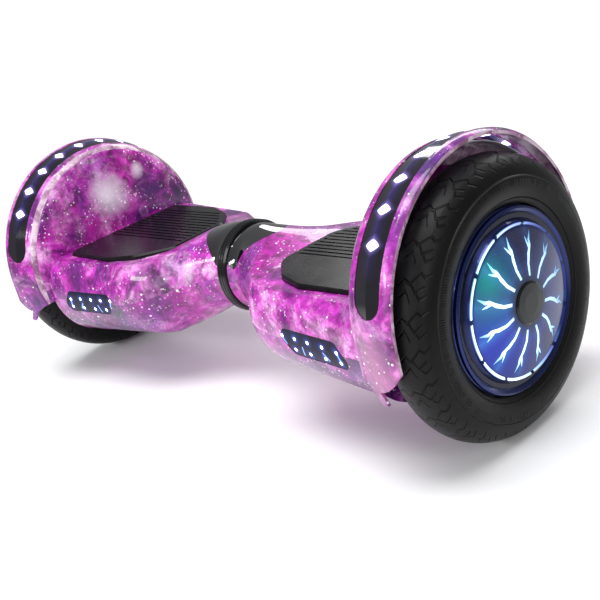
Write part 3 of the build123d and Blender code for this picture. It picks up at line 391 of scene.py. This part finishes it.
def painted_hub_glow(r, radius, angle, y, rise, centre):
    """Colour and strength of the painted glow on the dome: a green and a blue pool of painted light, faint
    beams and a dashed ring, all painted on the cover around the bolt lights.
    """
    sector = r.off_whole(r.plus(r.math("DIVIDE", angle, FULL_TURN / BOLTS), BOLT_TURN))
    beam = r.power(r.spread(r.times(r.size(sector), radius, FULL_TURN / BOLTS), 0.011, 0.0), 1.6)
    place = r.vector(0.0, y, rise)
    green = r.spread(r.distance(place, PAINTED_GREEN_POOL), 0.046, 0.004)
    blue = r.spread(r.distance(place, PAINTED_BLUE_POOL), 0.075, 0.010)
    colour = r.mix(green, (0.01, 0.03, 0.55), (0.0, 0.42, 0.36))
    colour = r.mix(r.times(beam, 0.45), colour, (0.08, 0.45, 0.95))
    painted_light_pools = r.plus(r.times(r.most(green, blue), 0.60), r.times(beam, 0.14))
    painted_light_pools = r.times(painted_light_pools, r.spread(radius, *DOME_EDGE), r.minus(1.0, centre))
    gap = r.size(r.off_whole(r.math("DIVIDE", r.plus(angle, DASH_TURN), FULL_TURN / DASHES)))
    ring = r.times(r.spread(gap, 0.455, 0.435), ridge(r, radius, DASH_RADIUS, 0.0016))
    dash = r.times(r.math("MULTIPLY", ring, 2.0, clamp=True), r.spread(y, 0.050, -0.036, 0.06, 1.0))
    return r.mix(dash, colour, (0.62, 0.85, 1.0)), r.plus(painted_light_pools, r.times(dash, 3.2))


def hub_blue(name, lit):
    """Dark blue metallic, with a painted grey sheen on its upper side and painted shade in its sunk channel.
    The lit one carries painted glow from the bolt lights.
    """
    r = Recipe(name)
    radius, angle, _, y, rise = polar(r, AXLE_Z)
    flake = r.noise(2500.0, 1.0)
    base = r.mix(r.noise(26.0, 5.0, 0.6, 0.8), (0.006, 0.012, 0.080), (0.018, 0.030, 0.160))
    # Painted highlight: a grey sheen painted on the upper part of the dome.
    painted_top_sheen = r.times(r.spread(rise, 0.0, 0.062), r.spread(radius, 0.0650, 0.0620))
    base = r.mix(r.times(painted_top_sheen, 0.5), base, (0.12, 0.13, 0.20))
    # Painted shade: the sunk channel outside the dome is painted near black.
    channel = r.times(r.spread(radius, 0.0695, 0.0715), r.spread(radius, 0.0775, 0.0755))
    base = r.mix(r.times(channel, 0.9), base, (0.001, 0.002, 0.012))
    centre = r.spread(radius, 0.030, 0.019)
    base = r.mix(r.times(centre, 0.8), base, (0.004, 0.012, 0.022))
    if lit:
        # Painted light: glow from the bolt lights painted on the cover as emission.
        colour, strength = painted_hub_glow(r, radius, angle, y, rise, centre)
        r.finish(Emission_Color=colour, Emission_Strength=strength)
    return r.finish(
        Base_Color=base, Metallic=0.8, Coat_Weight=0.35, Coat_Roughness=0.03,
        Roughness=r.uneven(flake, 0.18, 0.34), Normal=r.bump(flake, 0.03, 0.0002),
    )


def bolt_light():
    """White light with cyan ends at the front of the wheel, and a dimmer blue towards its back."""
    r = Recipe("bolt_light")
    radius, _, _, y, rise = polar(r, AXLE_Z)
    back = r.spread(y, -0.020, 0.050)
    tip = r.spread(radius, 0.046, 0.062)
    green = r.times(r.spread(rise, 0.018, 0.035), tip, r.spread(y, -0.020, -0.034))
    colour = r.mix(back, (0.70, 0.95, 1.0), (0.42, 0.70, 1.0))
    colour = r.mix(r.times(tip, 0.8), colour, (0.10, 0.55, 1.0))
    near, far = r.spread(radius, 0.021, 0.032, 0.35, 1.0), r.spread(radius, 0.061, 0.048, 0.35, 1.0)
    return r.finish(
        Base_Color=r.mix(tip, (0.22, 0.40, 0.52), (0.05, 0.15, 0.40)),
        Roughness=r.uneven(r.noise(80.0), 0.2, 0.35), Emission_Color=r.mix(green, colour, (0.10, 1.0, 0.65)),
        Emission_Strength=r.times(r.spread(back, 0.0, 1.0, 1.9, 0.55), near, far),
    )


# Tyres


def tread_cuts(r, angle, across):
    """1 in the cuts: a ring of jagged, forked strokes that run from the crown down both shoulders."""
    pitch = FULL_TURN / TREADS
    cuts = []
    for low, high, start, end in TREAD_STROKES:
        along = r.spread(across, low, high, start / 1000 / TYRE_RADIUS, end / 1000 / TYRE_RADIUS)
        apart = r.off_whole(r.math("DIVIDE", r.minus(angle, along), pitch))
        stroke = r.spread(r.times(r.size(apart), pitch * TYRE_RADIUS), 0.0017, 0.0006)
        begun, ended = r.spread(across, low - STROKE_END, low), r.spread(across, high + STROKE_END, high)
        cuts.append(r.times(stroke, begun, ended))
    return r.most(*cuts)


def tyre_rubber():
    """Satin black rubber: tread cuts with painted shade in them, fine radial ribs on a ring of the wall, and
    thin moulded lines with a painted highlight along them.
    """
    r = Recipe("tyre_rubber")
    radius, angle, x, _, _ = polar(r, AXLE_Z)
    across = r.plus(r.size(r.minus(r.size(x), WHEEL_X)), r.minus(TYRE_RADIUS, radius))
    cuts = tread_cuts(r, angle, across)
    broken = r.spread(r.noise(1.0, 2.0, 0.5, 0.0, r.vector(r.times(angle, 7.0), 0.0, 0.0)), 0.48, 0.52)
    ring = r.times(r.spread(radius, 0.0990, 0.0995), r.spread(radius, 0.1045, 0.1040))
    ribs = r.times(r.math("SINE", r.times(angle, RIB_WAVES)), ring, broken)
    lines = r.most(ridge(r, radius, 0.1068, 0.0010), ridge(r, radius, 0.0885, 0.0006))
    blotch = r.noise(22.0, 5.0, 0.6)
    base = r.mix(blotch, (0.0018, 0.0018, 0.002), (0.005, 0.005, 0.0055))
    # Painted highlight: the moulded lines are painted lighter, as gloss along their ridges.
    base = r.mix(r.times(lines, 0.5), base, (0.030, 0.030, 0.032))
    base = r.mix(r.times(r.spread(across, 0.036, 0.030), 0.5), base, (0.010, 0.010, 0.011))
    # Painted shade: the tread cuts are painted near black.
    base = r.mix(cuts, base, (0.0003, 0.0003, 0.0003))
    grain = r.noise(900.0, 3.0, 0.6)
    height = r.plus(r.times(ribs, 0.2), r.times(lines, 0.8), r.times(grain, 0.10), r.times(cuts, -2.2))
    return r.finish(
        Base_Color=base, Roughness=r.uneven(blotch, 0.34, 0.46), Specular_IOR_Level=0.16,
        Normal=r.bump(height, 1.0, 0.0018),
    )


# What each node wears

films = {
    "left_upper_shell": shell_film("film_left_upper_with_painted_dome_light", (0.37, 1.9, 0.8), 0.045, [
        # On the far dome, the two pale clouds are painted highlights and the two dark clouds are painted
        # shade.
        ((-0.260, -0.004, 0.206), 0.034, (0.93, 0.80, 0.94), 0.85),
        ((-0.258, 0.052, 0.222), 0.014, (0.97, 0.92, 0.98), 1.0),
        ((-0.262, -0.066, 0.176), 0.022, (0.06, 0.005, 0.11), 0.9),
        ((-0.262, 0.058, 0.191), 0.030, (0.07, 0.010, 0.13), 0.8),
    ]),
    "left_lower_shell": shell_film("film_left_lower", (2.2, 0.35, 1.1), 0.010),
    "right_upper_shell": shell_film("film_right_upper", (1.2, 0.75, 2.6), 0.040, [
        ((0.300, -0.128, 0.118), 0.040, (0.70, 0.24, 0.50), 0.7),
    ]),
    "right_lower_shell": shell_film("film_right_lower", (0.9, 2.1, 0.3), 0.020),
}
shared = {
    "waist_trim": gloss_black(),
    "arch_light_cover": arch_cover(),
    "arch_led_strip": satin("led_tape", (0.75, 0.76, 0.80), 0.5),
    "headlight_lens": lamp_lens(),
    "headlight_board": satin("headlight_board", (0.02, 0.03, 0.08), 0.45),
    "foot_pad": pad_rubber(),
    "frame": satin("cast_deck", (0.55, 0.56, 0.58), 0.42, metallic=1.0, grain=220.0, depth=0.15),
    "sensor_board": satin("green_board", (0.02, 0.16, 0.07), 0.4),
    "axle_clamp": satin("cast_clamp", (0.50, 0.51, 0.53), 0.45, metallic=1.0, grain=260.0, depth=0.15),
    "clamp_bolts": satin("black_oxide", (0.05, 0.05, 0.055), 0.35, metallic=1.0),
    "shell_screws": satin("black_screws", (0.06, 0.06, 0.065), 0.35, metallic=1.0),
    "axle": turned_metal("axle_steel", (0.55, 0.56, 0.58)),
    "stator": satin("copper_windings", (0.55, 0.24, 0.10), 0.35, metallic=1.0, grain=700.0, depth=0.3),
    "magnet_ring": turned_metal("nickel_magnets", (0.45, 0.46, 0.48)),
    "rim": hub_blue("rim_blue", lit=False),
    "motor_cover": satin("motor_cover", (0.025, 0.025, 0.03), 0.4, metallic=0.6, grain=260.0, depth=0.2),
    "hub_screws": satin("zinc_screws", (0.45, 0.46, 0.48), 0.3, metallic=1.0),
    "wheel_bearings": turned_metal("bearing_steel", (0.62, 0.63, 0.65), 0.15),
    "tyre": tyre_rubber(),
    "hub_cover": hub_blue("hub_blue", lit=True),
    "hub_light_guide": bolt_light(),
    "centre_cap": satin("cap_black", (0.002, 0.004, 0.006), 0.16, shine=0.25, coat=0.25),
    "pivot_shaft": turned_metal("shaft_steel", (0.50, 0.51, 0.53)),
    "pivot_clip": satin("spring_steel", (0.12, 0.12, 0.13), 0.3, metallic=1.0),
    "pivot_bushes": satin("oiled_bronze", (0.45, 0.27, 0.10), 0.35, metallic=1.0),
    "centre_ring": satin("ring_rubber", (0.004, 0.004, 0.0045), 0.24, grain=900.0, shine=0.3, coat=0.3),
    "mainboard": satin("main_board", (0.02, 0.14, 0.06), 0.4),
    "battery_cells": satin("cell_wrap", (0.03, 0.20, 0.36), 0.35, coat=0.5),
    "battery_case": satin("battery_case", (0.03, 0.03, 0.034), 0.5),
    "charge_socket": satin("socket_black", (0.02, 0.02, 0.022), 0.45),
    "charge_cap": satin("flap_rubber", (0.015, 0.015, 0.016), 0.5, grain=900.0, depth=0.12),
    "power_button": satin("button_grey", (0.30, 0.31, 0.33), 0.35, metallic=0.8),
}

for name, node in nodes.items():
    side, _, rest = name.partition("_")
    material = films.get(name) or shared[rest if side in SIDES else name]
    for slot in node.material_slots:
        slot.material = material


# Floor, lights and camera

FLOOR_RADIUS = 2.6
FLOOR_FADE = (1.5, 0.55)
# Soft lights as (name, place, aim, watts, width, height).
LIGHTS = (
    ("overhead", (0.1, -0.3, 1.9), (0, 0, 0.1), 40, 2.2, 0.9),
    ("front_strip", (-0.5, -1.7, 0.9), (0, 0, 0.12), 12, 1.4, 0.22),
    ("low_front", (0.3, -2.2, 0.5), (0, 0, 0.05), 8, 2.4, 0.8),
    ("wheel_side", (1.9, -0.9, 1.1), (0.3, 0, 0.12), 9, 0.5, 1.0),
    ("back_edge", (-0.4, 1.5, 1.2), (0, 0, 0.15), 16, 2.0, 0.5),
)
CAMERA_AZIMUTH, CAMERA_ELEVATION, CAMERA_ROLL = (math.radians(d) for d in (51.5, 20.4, -14.9))
CAMERA_DISTANCE = 1.0767
CAMERA_AIM = Vector((0.0579, 0.0, 0.0954))
CAMERA_LENS, CAMERA_SENSOR = 60.23, 36.0


def show(name, data):
    """A new object for some data, linked into the scene."""
    thing = bpy.data.objects.new(name, data)
    bpy.context.scene.collection.objects.link(thing)
    return thing


def floor_sheet():
    """A pale floor that fades out into the white surround."""
    bm = bmesh.new()
    bmesh.ops.create_circle(bm, cap_ends=True, segments=96, radius=FLOOR_RADIUS)
    mesh = bpy.data.meshes.new("floor")
    bm.to_mesh(mesh)
    bm.free()
    r = Recipe("studio_floor")
    x, y, _ = r.axes()
    mesh.materials.append(r.finish(
        Base_Color=r.mix(r.noise(3.0, 3.0), (0.90, 0.90, 0.905), (0.93, 0.93, 0.935)),
        Roughness=0.7, Specular_IOR_Level=0.1, Alpha=r.spread(r.long_side(x, y), *FLOOR_FADE),
    ))
    show("floor", mesh)


def soft_light(name, place, aim, watts, width, height):
    lamp = bpy.data.lights.new(name, "AREA")
    lamp.shape, lamp.size, lamp.size_y = "RECTANGLE", width, height
    lamp.energy = watts
    holder = show(name, lamp)
    holder.location = place
    holder.rotation_euler = (Vector(place) - Vector(aim)).to_track_quat("Z", "Y").to_euler()


def white_surround():
    """The camera sees plain white all round. The board is lit by a dimmer, cooler room."""
    world = bpy.data.worlds.new("studio")
    world.use_nodes = True
    tree = world.node_tree
    room, seen = tree.nodes["Background"], tree.nodes.new("ShaderNodeBackground")
    room.inputs["Color"].default_value = (0.96, 0.97, 1.0, 1.0)
    room.inputs["Strength"].default_value = 0.30
    seen.inputs["Color"].default_value = (1.0, 1.0, 1.0, 1.0)
    mixer, path = tree.nodes.new("ShaderNodeMixShader"), tree.nodes.new("ShaderNodeLightPath")
    tree.links.new(path.outputs["Is Camera Ray"], mixer.inputs[0])
    tree.links.new(room.outputs[0], mixer.inputs[1])
    tree.links.new(seen.outputs[0], mixer.inputs[2])
    tree.links.new(mixer.outputs[0], tree.nodes["World Output"].inputs["Surface"])
    bpy.context.scene.world = world


def set_camera():
    """Three-quarter view from the front right and above, rolled to one side."""
    flat, turn, tip = math.cos(CAMERA_ELEVATION), math.cos(CAMERA_ROLL), math.sin(CAMERA_ROLL)
    rise = math.sin(CAMERA_ELEVATION)
    back = Vector((math.sin(CAMERA_AZIMUTH) * flat, -math.cos(CAMERA_AZIMUTH) * flat, rise))
    across = (-back).cross(Vector((0, 0, 1))).normalized()
    up = across.cross(-back)
    matrix = Matrix((across * turn + up * tip, up * turn - across * tip, back)).transposed().to_4x4()
    matrix.translation = CAMERA_AIM + back * CAMERA_DISTANCE
    camera = bpy.data.cameras.new("camera")
    camera.lens, camera.sensor_width = CAMERA_LENS, CAMERA_SENSOR
    holder = show("camera", camera)
    holder.matrix_world = matrix
    bpy.context.scene.camera = holder


floor_sheet()
for light in LIGHTS:
    soft_light(*light)
white_surround()
bpy.context.scene.view_settings.view_transform = "Standard"
set_camera()
